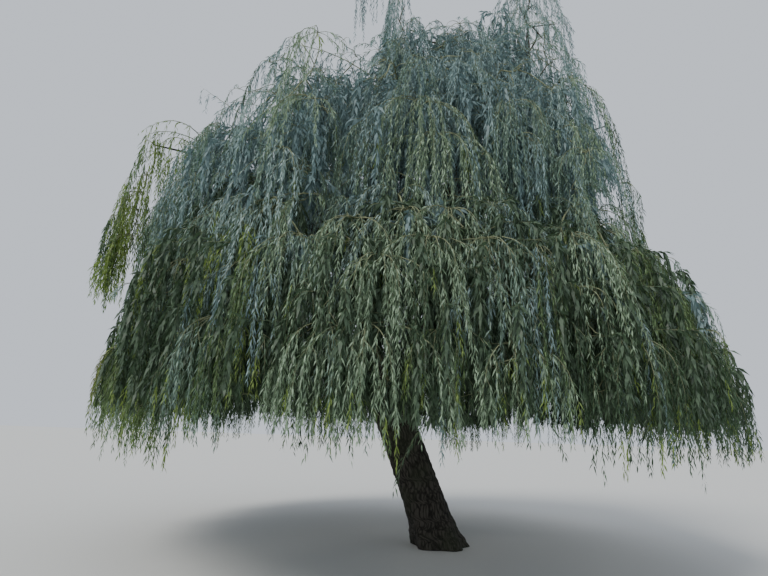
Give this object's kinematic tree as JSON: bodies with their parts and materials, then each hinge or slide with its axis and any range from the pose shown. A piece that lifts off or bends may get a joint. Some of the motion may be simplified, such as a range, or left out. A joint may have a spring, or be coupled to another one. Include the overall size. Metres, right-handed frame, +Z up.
{
  "type": "weeping willow tree",
  "caption": "Weeping willow in summer leaf: a leaning trunk, rising boughs and long hanging curtains of narrow leaves round an open, shaded space.",
  "frame": {"origin": "middle of the flat cut under the trunk, at ground level", "axes": "+Z up from the ground; -Y towards the side shown in the picture; +X to that side's right, with the trunk leaning towards -X"},
  "size_m": [10.2739, 9.8393, 12.05],
  "materials": {
    "bark": "rough, deeply furrowed grey-brown bark",
    "leaves": "satin, narrow grey-green leaves with paler undersides"
  },
  "bodies": {
    "root": {"bough_middle_back": "bark", "bough_middle_back_left": "bark", "bough_middle_front": "bark", "bough_middle_left": "bark", "bough_middle_left_front": "bark", "bough_middle_right": "bark", "bough_middle_right_front": "bark", "bough_skirt_back": "bark", "bough_skirt_back_left": "bark", "bough_skirt_back_right": "bark", "bough_skirt_front": "bark", "bough_skirt_front_left": "bark", "bough_skirt_front_right": "bark", "bough_skirt_left": "bark", "bough_skirt_left_back": "bark", "bough_skirt_right": "bark", "bough_strand_left": "bark", "bough_strand_right": "bark", "bough_upper_back_left": "bark", "bough_upper_back_right": "bark", "bough_upper_front": "bark", "bough_upper_left": "bark", "bough_upper_right": "bark", "leader_back": "bark", "leader_left_spire": "bark", "leader_right_dome": "bark", "leader_saddle": "bark", "middle_back": "leaves", "middle_back_left": "leaves", "middle_front": "leaves", "middle_left": "leaves", "middle_left_front": "leaves", "middle_right": "leaves", "middle_right_front": "leaves", "skirt_back": "leaves", "skirt_back_left": "leaves", "skirt_back_right": "leaves", "skirt_front": "leaves", "skirt_front_left": "leaves", "skirt_front_right": "leaves", "skirt_left": "leaves", "skirt_left_back": "leaves", "skirt_right": "leaves", "strand_left": "leaves", "strand_right": "leaves", "top_back": "leaves", "top_left_spire": "leaves", "top_right_dome": "leaves", "top_saddle": "leaves", "trunk": "bark", "upper_back_left": "leaves", "upper_back_right": "leaves", "upper_front": "leaves", "upper_left": "leaves", "upper_right": "leaves"}
  },
  "joints": []
}
